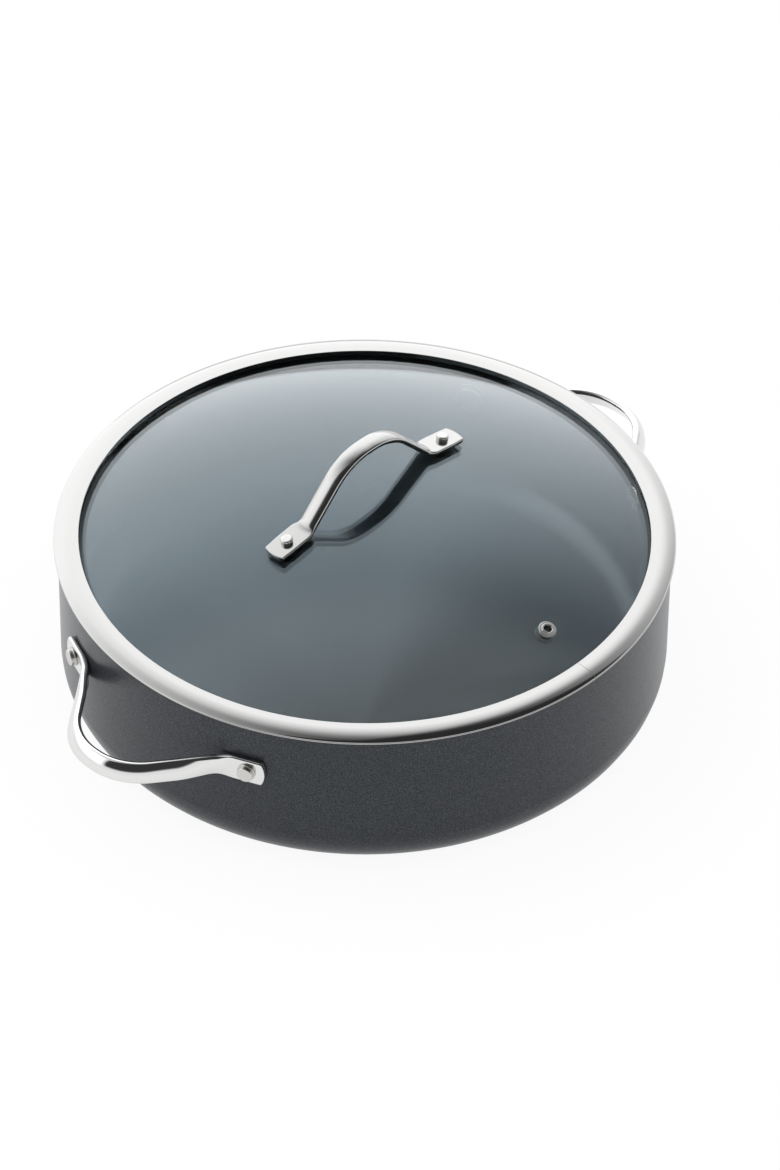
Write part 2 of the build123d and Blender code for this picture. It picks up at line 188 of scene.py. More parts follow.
# One part of the sky turns into the next between two cosines.
behind = ease(sky, ahead, 0.16, -0.15)
rightward = ease(sky, aside, 0.1, 0.85)
leftward = ease(sky, aside, -0.45, -0.95)
fade_foot = between(sky, behind, between(sky, leftward, ahead_foot, left_foot), behind_foot)
fade_top = between(sky, behind, between(sky, rightward, ahead_top, right_top), behind_top)
climbed = minus(sky, elevation, fade_foot)
share = maths(sky, "DIVIDE", climbed, minus(sky, fade_top, fade_foot))
lit = ease(sky, share, 1.0, 0.0)
low_left = times(sky, leftward, ease(sky, elevation, strip_top, strip_foot))
level = between(sky, rightward, wall_level, side_level)
level = between(sky, low_left, level, near_level)
level = between(sky, behind, level, near_level)
glow = between(sky, lit, dark_level, level)
paths = add(sky, "ShaderNodeLightPath")
plain = maths(sky, "ADD", paths.outputs["Is Camera Ray"], paths.outputs["Is Diffuse Ray"], clamp=True)
seen = between(sky, plain, glow, 1.0)
background = add(sky, "ShaderNodeBackground", {"Color": (0.975, 0.99, 1, 1), "Strength": seen})
add(sky, "ShaderNodeOutputWorld", {"Surface": background.outputs[0]})
print("sky levels:", wall_level, side_level, near_level, dark_level)

# %% [markdown]
# One large soft lamp high on the left lays a faint soft shadow to the right of the pan. It is hidden
# from glossy rays, because its edge would show in the steel.

# %% Soft lamp
lamp_place = Vector(heading(-80)) * 1.1 + Vector((0, 0, 1.7))
lamp_aim = Vector((0, 0, 0.05))
lamp_data = bpy.data.lights.new("overhead", "AREA")
lamp_data.shape = "DISK"
lamp_data.size = 1.6
lamp_data.energy = 9
lamp = bpy.data.objects.new("overhead", lamp_data)
lamp.location = lamp_place
lamp.rotation_euler = (lamp_aim - lamp_place).to_track_quat("-Z", "Y").to_euler()
lamp.visible_glossy = False
lamp.visible_transmission = False
bpy.context.scene.collection.objects.link(lamp)
print("lamp at", [round(value, 2) for value in lamp_place])

# %% [markdown]
# ## The floor
# A plain white floor, large enough to reach the edge of every view. In its material the camera, the
# steel and the glass see it mostly as white paper, and the rest is lit paint, so the soft shadow of
# the pan stays. It lies a hair under the base, so that no two faces share one plane, and from below
# it is clear, so that the underside can be looked at.

# %% Floor
reach = 6
floor_drop = 0.2 * MM
paper_share = 0.92
mirrored_share = 0.55
floor_mesh = bpy.data.meshes.new("floor")
floor_corners = [(x * reach, y * reach, -floor_drop) for x, y in ((-1, -1), (1, -1), (1, 1), (-1, 1))]
floor_mesh.from_pydata(floor_corners, [], [(0, 1, 2, 3)])
floor = bpy.data.objects.new("floor", floor_mesh)
bpy.context.scene.collection.objects.link(floor)
floor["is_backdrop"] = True
paper = bpy.data.materials.new("white_floor")
paper.use_nodes = True
tree = paper.node_tree
tree.nodes.clear()
paths = add(tree, "ShaderNodeLightPath")
sees = maths(tree, "ADD", paths.outputs["Is Camera Ray"], paths.outputs["Is Transmission Ray"], clamp=True)
sees = times(tree, sees, paper_share)
mirrored = times(tree, paths.outputs["Is Glossy Ray"], mirrored_share)
sees = maths(tree, "MAXIMUM", sees, mirrored)
paint = add(tree, "ShaderNodeBsdfDiffuse", {"Color": (0.95, 0.95, 0.95, 1)})
shine = add(tree, "ShaderNodeEmission", {"Strength": 1.0})
mixed = add(tree, "ShaderNodeMixShader", {0: sees, 1: paint.outputs[0], 2: shine.outputs[0]})
below = add(tree, "ShaderNodeNewGeometry").outputs["Backfacing"]
clear = add(tree, "ShaderNodeBsdfTransparent")
one_way = add(tree, "ShaderNodeMixShader", {0: below, 1: mixed.outputs[0], 2: clear.outputs[0]})
add(tree, "ShaderNodeOutputMaterial", {"Surface": one_way.outputs[0]})
floor_mesh.materials.append(paper)
print("floor:", 2 * reach, "m wide")

# %% [markdown]
# ## Geometry Nodes helpers
# Most pieces of a pan are turned, bent or set out by a rule, so Geometry Nodes can make them: a small
# tree takes a profile or a path and builds the mesh. A tree is a node group with named inputs. The
# host object only carries the profile. Its result is turned into a plain mesh and the host is removed.

# %% Helpers for forms
def new_form(name, inputs):
    """An empty Geometry Nodes tree with these extra inputs, and its two end nodes."""
    tree = bpy.data.node_groups.new(name, "GeometryNodeTree")
    face = tree.interface
    face.new_socket("Geometry", in_out="INPUT", socket_type="NodeSocketGeometry")
    for label, kind in inputs:
        face.new_socket(label, in_out="INPUT", socket_type="NodeSocket" + kind)
    face.new_socket("Geometry", in_out="OUTPUT", socket_type="NodeSocketGeometry")
    start = add(tree, "NodeGroupInput").outputs
    end = add(tree, "NodeGroupOutput").inputs
    return tree, start, end


def stored(tree, name, kind="FLOAT_VECTOR"):
    """A named attribute of the host's points."""
    return add(tree, "GeometryNodeInputNamedAttribute", {0: name}, data_type=kind).outputs[0]


def picked(tree, shape, value, place, kind="FLOAT_VECTOR"):
    """The value that a shape has at one of its points."""
    sockets = {0: shape, 1: value, 2: place}
    return add(tree, "GeometryNodeSampleIndex", sockets, data_type=kind).outputs[0]


def host(name, points, **facts):
    """A throw-away object whose points, in millimetres, carry a profile or a path."""
    mesh = bpy.data.meshes.new(name)
    mesh.from_pydata([Vector(point) * MM for point in points], [], [])
    for fact, values in facts.items():
        if isinstance(values[0], (int, float)):
            mesh.attributes.new(fact, "FLOAT", "POINT").data.foreach_set("value", values)
        else:
            flat = [number for value in values for number in value]
            mesh.attributes.new(fact, "FLOAT_VECTOR", "POINT").data.foreach_set("vector", flat)
    carrier = bpy.data.objects.new(name, mesh)
    bpy.context.scene.collection.objects.link(carrier)
    return carrier


def grow(name, tree, carrier, **settings):
    """Run a tree on its host, and keep the result as a plain mesh object."""
    modifier = carrier.modifiers.new("form", "NODES")
    modifier.node_group = tree
    for item in tree.interface.items_tree:
        if item.item_type == "SOCKET" and item.in_out == "INPUT":
            key = item.name.replace(" ", "_")
            if key in settings:
                modifier[item.identifier] = settings[key]
    ready = carrier.evaluated_get(bpy.context.evaluated_depsgraph_get())
    mesh = bpy.data.meshes.new_from_object(ready)
    carrier.modifiers.remove(modifier)
    bpy.data.objects.remove(carrier)
    mesh.name = name
    piece = bpy.data.objects.new(name, mesh)
    bpy.context.scene.collection.objects.link(piece)
    print(name, "has", len(mesh.polygons), "faces")
    return piece


# %% [markdown]
# ## A lathe
# The pan, the rim, the rivets and the washers are round, so a lathe makes them. A Screw or Spin
# modifier would do for one, but a tree can also be used inside another tree. This one lays out a flat
# grid and moves each of its points: the row picks a point of the profile, and the column the angle.
# Merging the doubles closes the seam and the poles. Edges sharper than the limit stay crisp.

# %% Turned form
def keep_crisp(tree, shape, limit):
    """Smooth faces, with a crisp crease where two faces meet at more than the limit."""
    smooth = add(tree, "GeometryNodeSetShadeSmooth", {0: shape, 2: True}).outputs[0]
    angle = add(tree, "GeometryNodeInputMeshEdgeAngle").outputs[0]
    sharp = add(tree, "FunctionNodeCompare", {0: angle, 1: limit}, operation="GREATER_THAN").outputs[0]
    values = {0: smooth, 1: sharp, 2: False}
    return add(tree, "GeometryNodeSetShadeSmooth", values, domain="EDGE").outputs[0]


def finished(tree, shape, end, material):
    """The last two nodes of every tree."""
    real = add(tree, "GeometryNodeRealizeInstances", {0: shape}).outputs[0]
    painted = add(tree, "GeometryNodeSetMaterial", {0: real, 2: material}).outputs[0]
    tree.links.new(painted, end[0])


def numbered_grid(tree, rows, columns):
    """A flat grid, and the row and the column of each of its points."""
    grid = add(tree, "GeometryNodeMeshGrid", {0: 1.0, 1: 1.0, 2: rows, 3: columns}).outputs
    index = add(tree, "GeometryNodeInputIndex").outputs[0]
    row = maths(tree, "FLOOR", maths(tree, "DIVIDE", maths(tree, "ADD", index, 0.5), columns))
    column = minus(tree, index, times(tree, row, columns))
    return grid, row, column


def laid_out(tree, grid, place):
    """The grid with its UV map, its points moved to their places, and the doubles merged."""
    values = {0: grid[0], 2: "UVMap", 3: grid[1]}
    mapped = add(tree, "GeometryNodeStoreNamedAttribute", values, data_type="FLOAT2", domain="CORNER")
    moved = add(tree, "GeometryNodeSetPosition", {0: mapped.outputs[0], 2: place}).outputs[0]
    return add(tree, "GeometryNodeMergeByDistance", {0: moved, 2: double_distance}).outputs[0]


crease_limit = math.radians(32)
double_distance = 0.002 * MM
lathe, start, end = new_form("turned_form", [("Columns", "Int"), ("Finish", "Material")])
rows = add(lathe, "GeometryNodeAttributeDomainSize", {0: start["Geometry"]}).outputs[0]
grid, row, column = numbered_grid(lathe, rows, maths(lathe, "ADD", start["Columns"], 1))
angle = times(lathe, maths(lathe, "DIVIDE", column, start["Columns"]), math.tau)
position = add(lathe, "GeometryNodeInputPosition").outputs[0]
chosen = picked(lathe, start["Geometry"], position, row)
profile_point = add(lathe, "ShaderNodeSeparateXYZ", {0: chosen}).outputs
across = times(lathe, profile_point[0], maths(lathe, "COSINE", angle))
along = times(lathe, profile_point[0], maths(lathe, "SINE", angle))
place = add(lathe, "ShaderNodeCombineXYZ", {0: across, 1: along, 2: profile_point[2]}).outputs[0]
turned_shape = laid_out(lathe, grid, place)
finished(lathe, keep_crisp(lathe, turned_shape, crease_limit), end, start["Finish"])
print("turned form:", len(lathe.nodes), "nodes")

# %% [markdown]
# Rivets, washers and gaskets are the same turned piece set out at several places. A second tree turns
# a profile with the first one and puts a copy on each point of its host, stood up along the direction
# that the point carries.

# %% Set-out form
inputs = [("Profile", "Object"), ("Columns", "Int"), ("Finish", "Material")]
set_out, start, end = new_form("set_out_form", inputs)
profile_shape = add(set_out, "GeometryNodeObjectInfo", {0: start["Profile"]}).outputs["Geometry"]
values = {"Geometry": profile_shape, "Columns": start["Columns"], "Finish": start["Finish"]}
one = add(set_out, "GeometryNodeGroup", values, node_tree=lathe)
stand = add(set_out, "FunctionNodeAlignRotationToVector", {2: stored(set_out, "axis")}, axis="Z").outputs[0]
values = {"Points": start["Geometry"], "Instance": one.outputs[0], "Rotation": stand}
placed = add(set_out, "GeometryNodeInstanceOnPoints", values).outputs[0]
finished(set_out, placed, end, start["Finish"])
print("set-out form:", len(set_out.nodes), "nodes")

# %% [markdown]
# ## A bent strap
# All three handles are flat steel straps: cut out, bent, crowned a little on the outside and rounded
# along the edges, with a wider tab at each end. Sweeping one outline along a curve can't change its
# width and keep its thickness, so a tree does it: each row of a grid is one cut through the strap,
# with its own width and crown, and each column is a point of the outline. The first and last rows are
# pulled back along a circle, which rounds the ends of the tabs.

# %% Strap form
lengths = ("Thickness", "Rounding", "End Radius")
inputs = [("Outline", "Object"), ("Finish", "Material")] + [(label, "Float") for label in lengths]
strap, start, end = new_form("strap_form", inputs)
outline_shape = add(strap, "GeometryNodeObjectInfo", {0: start["Outline"]}).outputs["Geometry"]
rows = add(strap, "GeometryNodeAttributeDomainSize", {0: start["Geometry"]}).outputs[0]
columns = add(strap, "GeometryNodeAttributeDomainSize", {0: outline_shape}).outputs[0]
grid, row, column = numbered_grid(strap, rows, columns)
path = start["Geometry"]


def on_path(name, kind="FLOAT"):
    return picked(strap, path, stored(strap, name, kind), row, kind)


def on_outline(name):
    value = stored(strap, name)
    return add(strap, "ShaderNodeSeparateXYZ", {0: picked(strap, outline_shape, value, column)}).outputs


side, corner = on_outline("side"), on_outline("corner")
half_width = times(strap, on_path("width"), 0.5)
round_left = minus(strap, start["Rounding"], on_path("inset"))
core_width = minus(strap, half_width, start["Rounding"])
core_depth = minus(strap, times(strap, start["Thickness"], 0.5), start["Rounding"])
breadth = maths(strap, "MULTIPLY_ADD", side[1], core_width, times(strap, corner[1], round_left))
share = maths(strap, "DIVIDE", breadth, half_width)
bow = minus(strap, 1.0, times(strap, share, share), clamp=True)
bow = times(strap, times(strap, bow, on_path("crown")), side[2])
depth = maths(strap, "MULTIPLY_ADD", side[0], core_depth, times(strap, corner[0], round_left))
depth = times(strap, maths(strap, "ADD", depth, bow), on_path("spread"))
end_square = times(strap, start["End Radius"], start["End Radius"])
reach_left = minus(strap, end_square, times(strap, breadth, breadth))
pull = minus(strap, start["End Radius"], maths(strap, "SQRT", reach_left))
pull = maths(strap, "MULTIPLY_ADD", pull, on_path("rounded_end"), on_path("slide"))
position = add(strap, "GeometryNodeInputPosition").outputs[0]
place = picked(strap, path, position, row)
for direction, distance in (("outward", depth), ("sideways", breadth), ("onward", pull)):
    values = {0: on_path(direction, "FLOAT_VECTOR"), "Scale": distance}
    step = add(strap, "ShaderNodeVectorMath", values, operation="SCALE").outputs[0]
    place = add(strap, "ShaderNodeVectorMath", {0: place, 1: step}, operation="ADD").outputs[0]
strap_shape = laid_out(strap, grid, place)
finished(strap, keep_crisp(strap, strap_shape, crease_limit), end, start["Finish"])
print("strap form:", len(strap.nodes), "nodes")

# %% [markdown]
# ## Profiles with rounded corners
# A real edge is never quite sharp. A profile is written as corners with a rounding each, and this
# helper turns every rounded corner into a short arc. It also adds points close to each arc and along
# the straight runs, so that smooth shading bends only where the metal does.

# %% Profile helper
arc_step = math.radians(12)
close_point, shortest_run = 0.35, 0.8


def profile(corners, step=4.0, closed=True):
    """Points of a profile, in mm, from corners of (radius, height, rounding)."""
    count = len(corners)
    points = []
    for number, (radius, height, rounding) in enumerate(corners):
        here = Vector((radius, height))
        before = Vector(corners[number - 1][:2])
        after = Vector(corners[(number + 1) % count][:2])
        if rounding == 0 or (not closed and number in (0, count - 1)):
            points.append([here])
            continue
        arrive = (here - before).normalized()
        leave = (after - here).normalized()
        bend = math.atan2(arrive.cross(leave), arrive.dot(leave))
        first = here - arrive * rounding * math.tan(abs(bend) / 2)
        inside = Vector((-arrive.y, arrive.x)) * math.copysign(rounding, bend)
        pieces = max(3, math.ceil(abs(bend) / arc_step))
        arc = []
        for part in range(pieces + 1):
            swing = Matrix.Rotation(bend * part / pieces, 2)
            arc.append(first + inside - swing @ inside)
        points.append(arc)
    line = []
    for number, arc in enumerate(points):
        line.extend(arc)
        if number == count - 1 and not closed:
            break
        first, last = arc[-1], points[(number + 1) % count][0]
        gap = (last - first).length
        tight = min(close_point, gap / 4)
        spots = []
        if gap > shortest_run:
            parts = max(1, math.ceil((gap - 2 * tight) / step))
            spots = [tight + (gap - 2 * tight) * part / parts for part in range(parts + 1)]
        line.extend(first.lerp(last, spot / gap) for spot in spots)
    if closed:
        line.append(line[0])
    around = sum(first.cross(last) for first, last in zip(line, line[1:] + line[:1]))
    if around > 0:
        line.reverse()
    return [(point.x, 0, point.y) for point in line]


def lathe_piece(name, corners, finish, columns=96, step=4.0, closed=True):
    carrier = host(name + "_profile", profile(corners, step, closed))
    return grow(name, lathe, carrier, Columns=columns, Finish=finish)


def set_out_piece(name, corners, finish, places, columns=48, closed=True):
    """The same turned piece at several places, each a (point, axis)."""
    shape = host(name + "_profile", profile(corners, 4.0, closed))
    shape.hide_render = True
    points, axes = zip(*places)
    carrier = host(name + "_places", points, axis=axes)
    piece = grow(name, set_out, carrier, Profile=shape, Columns=columns, Finish=finish)
    bpy.data.objects.remove(shape)
    return piece


# %% [markdown]
# ## Finishes
# Every finish is a Principled surface. What varies over the piece, such as grain or scratches, comes
# from noise on Object coordinates, which stay with the piece when the lid is lifted. What is the same
# all over is set on the surface itself.

# %% Finish helpers
def new_finish(name, **constants):
    """A material with one Principled surface. Returns both and the node tree."""
    material = bpy.data.materials.new(name)
    material.use_nodes = True
    tree = material.node_tree
    tree.nodes.clear()
    surface = add(tree, "ShaderNodeBsdfPrincipled")
    for key, value in constants.items():
        surface.inputs[key.replace("_", " ")].default_value = value
    add(tree, "ShaderNodeOutputMaterial", {"Surface": surface.outputs[0]})
    return material, tree, surface


def object_place(tree):
    return add(tree, "ShaderNodeTexCoord").outputs["Object"]


def noise(tree, vector, scale, detail=2.0, rough=0.5):
    values = {"Vector": vector, "Scale": scale, "Detail": detail, "Roughness": rough}
    return add(tree, "ShaderNodeTexNoise", values).outputs[0]


def bump(tree, surface, height, strength, distance):
    values = {"Height": height, "Strength": strength, "Distance": distance * MM}
    tree.links.new(add(tree, "ShaderNodeBump", values).outputs[0], surface.inputs["Normal"])


def two_colours(tree, factor, low, high):
    values = {0: factor}
    for key, colour in ((6, low), (7, high)):
        values[key] = colour if isinstance(colour, bpy.types.NodeSocket) else (*colour, 1)
    return add(tree, "ShaderNodeMix", values, data_type="RGBA").outputs[2]


def turned_place(tree, fine):
    """Coordinates for marks that run round the Z axis: fine across, slow along."""
    spot = add(tree, "ShaderNodeSeparateXYZ", {0: object_place(tree)}).outputs
    squares = [times(tree, spot[axis], spot[axis]) for axis in (0, 1)]
    radius = maths(tree, "SQRT", maths(tree, "ADD", *squares))
    far = maths(tree, "MAXIMUM", radius, 0.001)
    slow = 1.5
    marks = {}
    for axis, span in ((0, radius), (1, spot[2])):
        way = maths(tree, "DIVIDE", spot[axis], far)
        marks[axis] = maths(tree, "MULTIPLY_ADD", way, slow, times(tree, span, fine))
    return add(tree, "ShaderNodeCombineXYZ", marks).outputs[0], radius, spot[2]


# %% [markdown]
# ### Hard-anodised aluminium, coated inside
# Hard anodising is a grown oxide skin: dark grey, slightly blue, dull, with a fine sparkle where the
# light catches its crystals. Inside, the pan has a darker and smoother non-stick coat with metal
# flecks. One material holds both: a surface halfway through the sheet, upright above and rounded at
# the heel, says on which side a point lies. The edge that the pan stands on is rubbed a little lighter.

# %% Anodised finish
anodised, tree, surface = new_finish(
    "hard_anodised", Specular_Tint=(0.84, 0.93, 1.0, 1), Sheen_Weight=0.10, Sheen_Roughness=0.35,
)
heel_centre, heel_height, heel_middle = 130.5 * MM, 23.5 * MM, 21.0 * MM
lines, radius, level = turned_place(tree, 900)
past = maths(tree, "MAXIMUM", minus(tree, radius, heel_centre), 0.0)
under = maths(tree, "MAXIMUM", minus(tree, heel_height, level), 0.0)
past_squared = times(tree, past, past)
reached = maths(tree, "SQRT", maths(tree, "MULTIPLY_ADD", under, under, past_squared))
inside = ease(tree, reached, heel_middle + 0.2 * MM, heel_middle - 0.2 * MM)
grain = noise(tree, object_place(tree), 2100, 2.5)
sparkle = ease(tree, grain, 0.42, 0.68)
drawn = noise(tree, lines, 1.0, 3.0)
skin = two_colours(tree, sparkle, (0.012, 0.0125, 0.015), (0.032, 0.033, 0.039))
coat = two_colours(tree, sparkle, (0.004, 0.006, 0.006), (0.012, 0.018, 0.017))
rubbed = times(tree, ease(tree, level, 1.2 * MM, 0.0), ease(tree, drawn, 0.4, 0.7))
skin = two_colours(tree, rubbed, skin, (0.16, 0.16, 0.165))
tree.links.new(two_colours(tree, inside, skin, coat), surface.inputs["Base Color"])
dull = maths(tree, "MULTIPLY_ADD", drawn, 0.02, 0.27)
smooth = maths(tree, "MULTIPLY_ADD", grain, 0.03, 0.30)
tree.links.new(between(tree, inside, 1.5, 1.8), surface.inputs["IOR"])
tree.links.new(between(tree, inside, dull, smooth), surface.inputs["Roughness"])
gleam = ease(tree, grain, 0.38, 0.66, 0.24, 0.58)
tree.links.new(between(tree, inside, gleam, 0.5), surface.inputs["Specular IOR Level"])
bump(tree, surface, times(tree, grain, between(tree, inside, 1.0, 0.05)), 0.12, 0.02)
print("anodised finish:", len(tree.nodes), "nodes")

# %% [markdown]
# ### Steels
# The same stainless steel has a different polish on each piece. Handles are polished along their
# length, so their fine lines follow the strap, and the strap's own UV map carries them. The rim and
# the washers are polished while they turn, so their lines run round. Long faint changes in roughness
# are what keeps polished metal from looking like a computer's mirror. The colours are painted light
# and shade: the rim and the lid handle, which mirror the bright sky, take a darkened copy of the steel,
# and the side handles, which mirror more of the floor, take a lighter one.

# %% Steel finishes
def steel_finish(name, colour, low, high, place, depth, strength=0.08):
    """Polished steel with fine lines that vary between two roughnesses."""
    material, tree, surface = new_finish(name, Base_Color=(*colour, 1), Metallic=1.0)
    fine = noise(tree, place(tree), 1.0, 4.0, 0.6)
    slow = noise(tree, object_place(tree), 45, 2.0)
    mixed = maths(tree, "MULTIPLY_ADD", slow, 0.6, times(tree, fine, 0.4))
    tree.links.new(ease(tree, mixed, 0.3, 0.7, low, high), surface.inputs["Roughness"])
    bump(tree, surface, fine, strength, depth)
    return material


def along_strap(tree):
    chart = add(tree, "ShaderNodeUVMap", uv_map="UVMap").outputs[0]
    return add(tree, "ShaderNodeMapping", {"Vector": chart, "Scale": (9, 260, 1)}).outputs[0]


def round_axis(tree):
    return turned_place(tree, 2400)[0]


def all_ways(tree):
    place = object_place(tree)
    return add(tree, "ShaderNodeMapping", {"Vector": place, "Scale": (1800, 1800, 1800)}).outputs[0]


# Painted shade and light: the rim and the lid handle share a darkened steel colour that offsets the bright
# sky they mirror, and the side handles get a lighter copy of the same steel.
shaded_steel_colour = (0.47, 0.465, 0.455)
handle_steel = steel_finish("handle_steel_polished", (0.74, 0.735, 0.725), 0.06, 0.10, along_strap, 0.003)
lid_steel = steel_finish("lid_handle_steel_polished", shaded_steel_colour, 0.11, 0.17, along_strap, 0.003)
rim_steel = steel_finish("rim_steel_polished", shaded_steel_colour, 0.06, 0.11, round_axis, 0.002, 0.04)
base_steel = steel_finish("base_steel_turned", (0.50, 0.50, 0.50), 0.24, 0.36, round_axis, 0.01, 0.3)
rivet_steel = steel_finish("rivet_steel_tumbled", (0.62, 0.605, 0.585), 0.24, 0.34, all_ways, 0.003, 0.1)
small_steel = steel_finish("hardware_steel_pressed", (0.56, 0.555, 0.545), 0.05, 0.10, all_ways, 0.003, 0.1)
print("finishes so far:", len(bpy.data.materials))

# %% [markdown]
# The sheet of the rim is bent to a ring and welded. Ground flush, the weld is only a thin duller line
# across the rim, so it is drawn in the finish: it lies where a point is close to one radial line.

# %% Weld seam
seam_lean, seam_core, seam_edge = 0.007, 0.08 * MM, 0.26 * MM
seam_colour, seam_roughness = (0.30, 0.295, 0.285), 0.38
tree = rim_steel.node_tree
surface = tree.nodes["Principled BSDF"]
spot = add(tree, "ShaderNodeSeparateXYZ", {0: object_place(tree)}).outputs
off_seam = maths(tree, "ABSOLUTE", maths(tree, "MULTIPLY_ADD", spot[1], seam_lean, spot[0]))
weld = times(tree, ease(tree, off_seam, seam_edge, seam_core), ease(tree, spot[1], 0.0, -10 * MM))
tree.links.new(two_colours(tree, weld, shaded_steel_colour, seam_colour), surface.inputs["Base Color"])
polish = surface.inputs["Roughness"].links[0].from_socket
tree.links.new(between(tree, weld, polish, seam_roughness), surface.inputs["Roughness"])
print("weld seam:", round(2 * seam_edge / MM, 2), "mm wide")

# %% [markdown]
# ### Tempered glass
# The dome is solid glass with two faces, and each of them mirrors the handle, which gives the double
# image. Glass here is a Principled surface that lets all light through. A faint slow ripple is left
# from bending and tempering the sheet.

# %% Glass finish
glass, tree, surface = new_finish(
    "glass_tempered", Base_Color=(0.93, 0.965, 0.975, 1), Transmission_Weight=1.0, Roughness=0.0,
    IOR=1.68, Specular_Tint=(0.70, 0.88, 1.0, 1),
)
ripple = noise(tree, object_place(tree), 16, 1.0)
bump(tree, surface, ripple, 0.15, 0.02)
print("glass finish:", len(tree.nodes), "nodes")

# %% [markdown]
# ### Silicone and plastic
# The gaskets are dull dark silicone, the one at the vent is milky and lets some light through, and
# the liner between glass and rim is black plastic.

# %% Rubber finishes
def soft_finish(name, low, high, roughness, **constants):
    material, tree, surface = new_finish(name, **constants)
    mottle = noise(tree, object_place(tree), 900, 3.0)
    tree.links.new(two_colours(tree, mottle, low, high), surface.inputs["Base Color"])
    worn = ease(tree, mottle, 0.3, 0.7, roughness - 0.06, roughness + 0.06)
    tree.links.new(worn, surface.inputs["Roughness"])
    bump(tree, surface, mottle, 0.2, 0.02)
    return material


silicone = soft_finish("silicone_dark", (0.012, 0.012, 0.013), (0.028, 0.028, 0.030), 0.5)
milky = soft_finish("silicone_milky", (0.55, 0.56, 0.56), (0.68, 0.69, 0.69), 0.4, Transmission_Weight=0.35)
liner_plastic = soft_finish("liner_black", (0.008, 0.008, 0.009), (0.016, 0.016, 0.017), 0.4)
print("finishes:", len(bpy.data.materials))

# %% [markdown]
# ## The pan
# One sheet of aluminium, drawn deep, turned true at the rim and set flat at the base, so the lathe
# makes it from its cross-section. The rounded heel is large, and that is where light gathers inside.

# %% Pan body
pan_inner, pan_outer, pan_height = 150.0, 153.0, 87.0
plate_radius, plate_thickness, base_thickness = 118.0, 1.2, 5.0
heel, rim_round, plate_round, plate_gap = 22.5, 0.6, 0.4, 0.15
wall_thickness = pan_outer - pan_inner
pan_corners = [
    (0, plate_thickness, 0),
    (plate_radius + plate_gap, plate_thickness, 0),
    (plate_radius + plate_gap, 0, plate_round),
    (pan_outer, 0, heel),
    (pan_outer, pan_height, rim_round),
    (pan_inner, pan_height, rim_round),
    (pan_inner, base_thickness, heel - wall_thickness),
    (0, base_thickness, 0),
]
pan = lathe_piece("pan_body_turned", pan_corners, anodised, columns=288, step=5.0, closed=False)
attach(pan, "pan")
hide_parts("pan_body")

# %% [markdown]
# ## The base plate
# A steel plate is pressed into the underside, so that the pan works on an induction hob. Five grooves
# are turned in it at one pitch. A loop writes them into the cross-section, and the lathe does the rest.

# %% Base plate
groove_count, groove_width, groove_depth, groove_round, first_groove = 5, 1.6, 0.25, 0.06, 24.0
plate_corners = [(0, plate_thickness, 0), (plate_radius, plate_thickness, 0), (plate_radius, 0, plate_round)]
groove_pitch = (plate_radius - first_groove) / groove_count
for number in reversed(range(groove_count)):
    inner = first_groove + number * groove_pitch
    outer = inner + groove_width
    for edge, depth in ((outer, 0), (outer, groove_depth), (inner, groove_depth), (inner, 0)):
        plate_corners.append((edge, depth, groove_round))
plate_corners.append((0, 0, 0))
plate_name = "induction_plate_grooved"
plate = lathe_piece(plate_name, plate_corners, base_steel, columns=192, step=6.0, closed=False)
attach(plate, "pan")
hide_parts("induction_base_plate")

# %% [markdown]
# ## The outline of a strap
# The strap form needs one cut through a strap as a list of points: flat inside, rounded at the four
# corners and crowned outside. Each point says which side it belongs to and which way its corner
# rounds, and the tree works out the rest for the width of each row.

# %% Strap outline
def strap_outline():
    """Points of the outline as (depth side, breadth side, crowned) and their corner direction."""
    flats = (0.0, 0.3, 0.6, 0.85, 0.97)
    turns = [math.radians(degrees) for degrees in (0, 18, 36, 54, 72, 90)]
    half = [((-1, flat, 0), (-1, 0, 0)) for flat in flats]
    half += [((-1, 1, 0), (-math.cos(turn), math.sin(turn), 0)) for turn in turns]
    half += [((-0.6, 1, 0), (0, 1, 0)), ((0, 1, 0), (0, 1, 0)), ((0.6, 1, 0), (0, 1, 0))]
    half += [((1, 1, 1), (math.sin(turn), math.cos(turn), 0)) for turn in turns]
    half += [((1, flat, 1), (1, 0, 0)) for flat in reversed(flats)]
    other_half = []
    for side, corner in reversed(half):
        other_half.append(((side[0], -side[1], side[2]), (corner[0], -corner[1], 0)))
    return half + other_half[1:]


print("points of a strap's outline:", len(strap_outline()))


def easing(distance, stops):
    """Value at a distance, easing from each (distance, value) stop to the next."""
    if distance <= stops[0][0]:
        return stops[0][1]
    for (start, first), (end, second) in zip(stops, stops[1:]):
        if distance <= end:
            share = (distance - start) / (end - start)
            return first + (second - first) * share * share * (3 - 2 * share)
    return stops[-1][1]


def bent_line(corners, radii):
    """Runs and arcs through corners. Returns a function of distance, and the length."""
    spans = []
    here = corners[0]
    for before, corner, after, radius in zip(corners, corners[1:], corners[2:], radii):
        arrive = (corner - before).normalized()
        leave = (after - corner).normalized()
        bend = arrive.angle(leave)
        run = radius * math.tan(bend / 2)
        first = corner - arrive * run
        spans.append((here, (first - here).normalized(), None, (first - here).length, 0))
        inward = (leave - arrive * arrive.dot(leave)).normalized()
        spans.append((first, arrive, inward, radius * bend, radius))
        here = corner + leave * run
    last = corners[-1]
    spans.append((here, (last - here).normalized(), None, (last - here).length, 0))

    def at(distance):
        """The point on the line at a distance, and the direction there."""
        for first, onward, inward, length, radius in spans[:-1]:
            if distance <= length:
                break
            distance -= length
        else:
            first, onward, inward, length, radius = spans[-1]
        if inward is None:
            return first + onward * distance, onward
        swing = distance / radius
        spot = first + onward * radius * math.sin(swing) + inward * radius * (1 - math.cos(swing))
        return spot, onward * math.cos(swing) + inward * math.sin(swing)

    return at, sum(span[3] for span in spans)


# %% [markdown]
# A strap's rows are set out along its path. At each end come a closing row, a quarter turn that rounds
# the cut edge, and then the straight tab, whose rounded end fades out before the bend.

# %% Strap maker
end_rounding, end_gap = 0.35, 0.25
row_step = 0.8


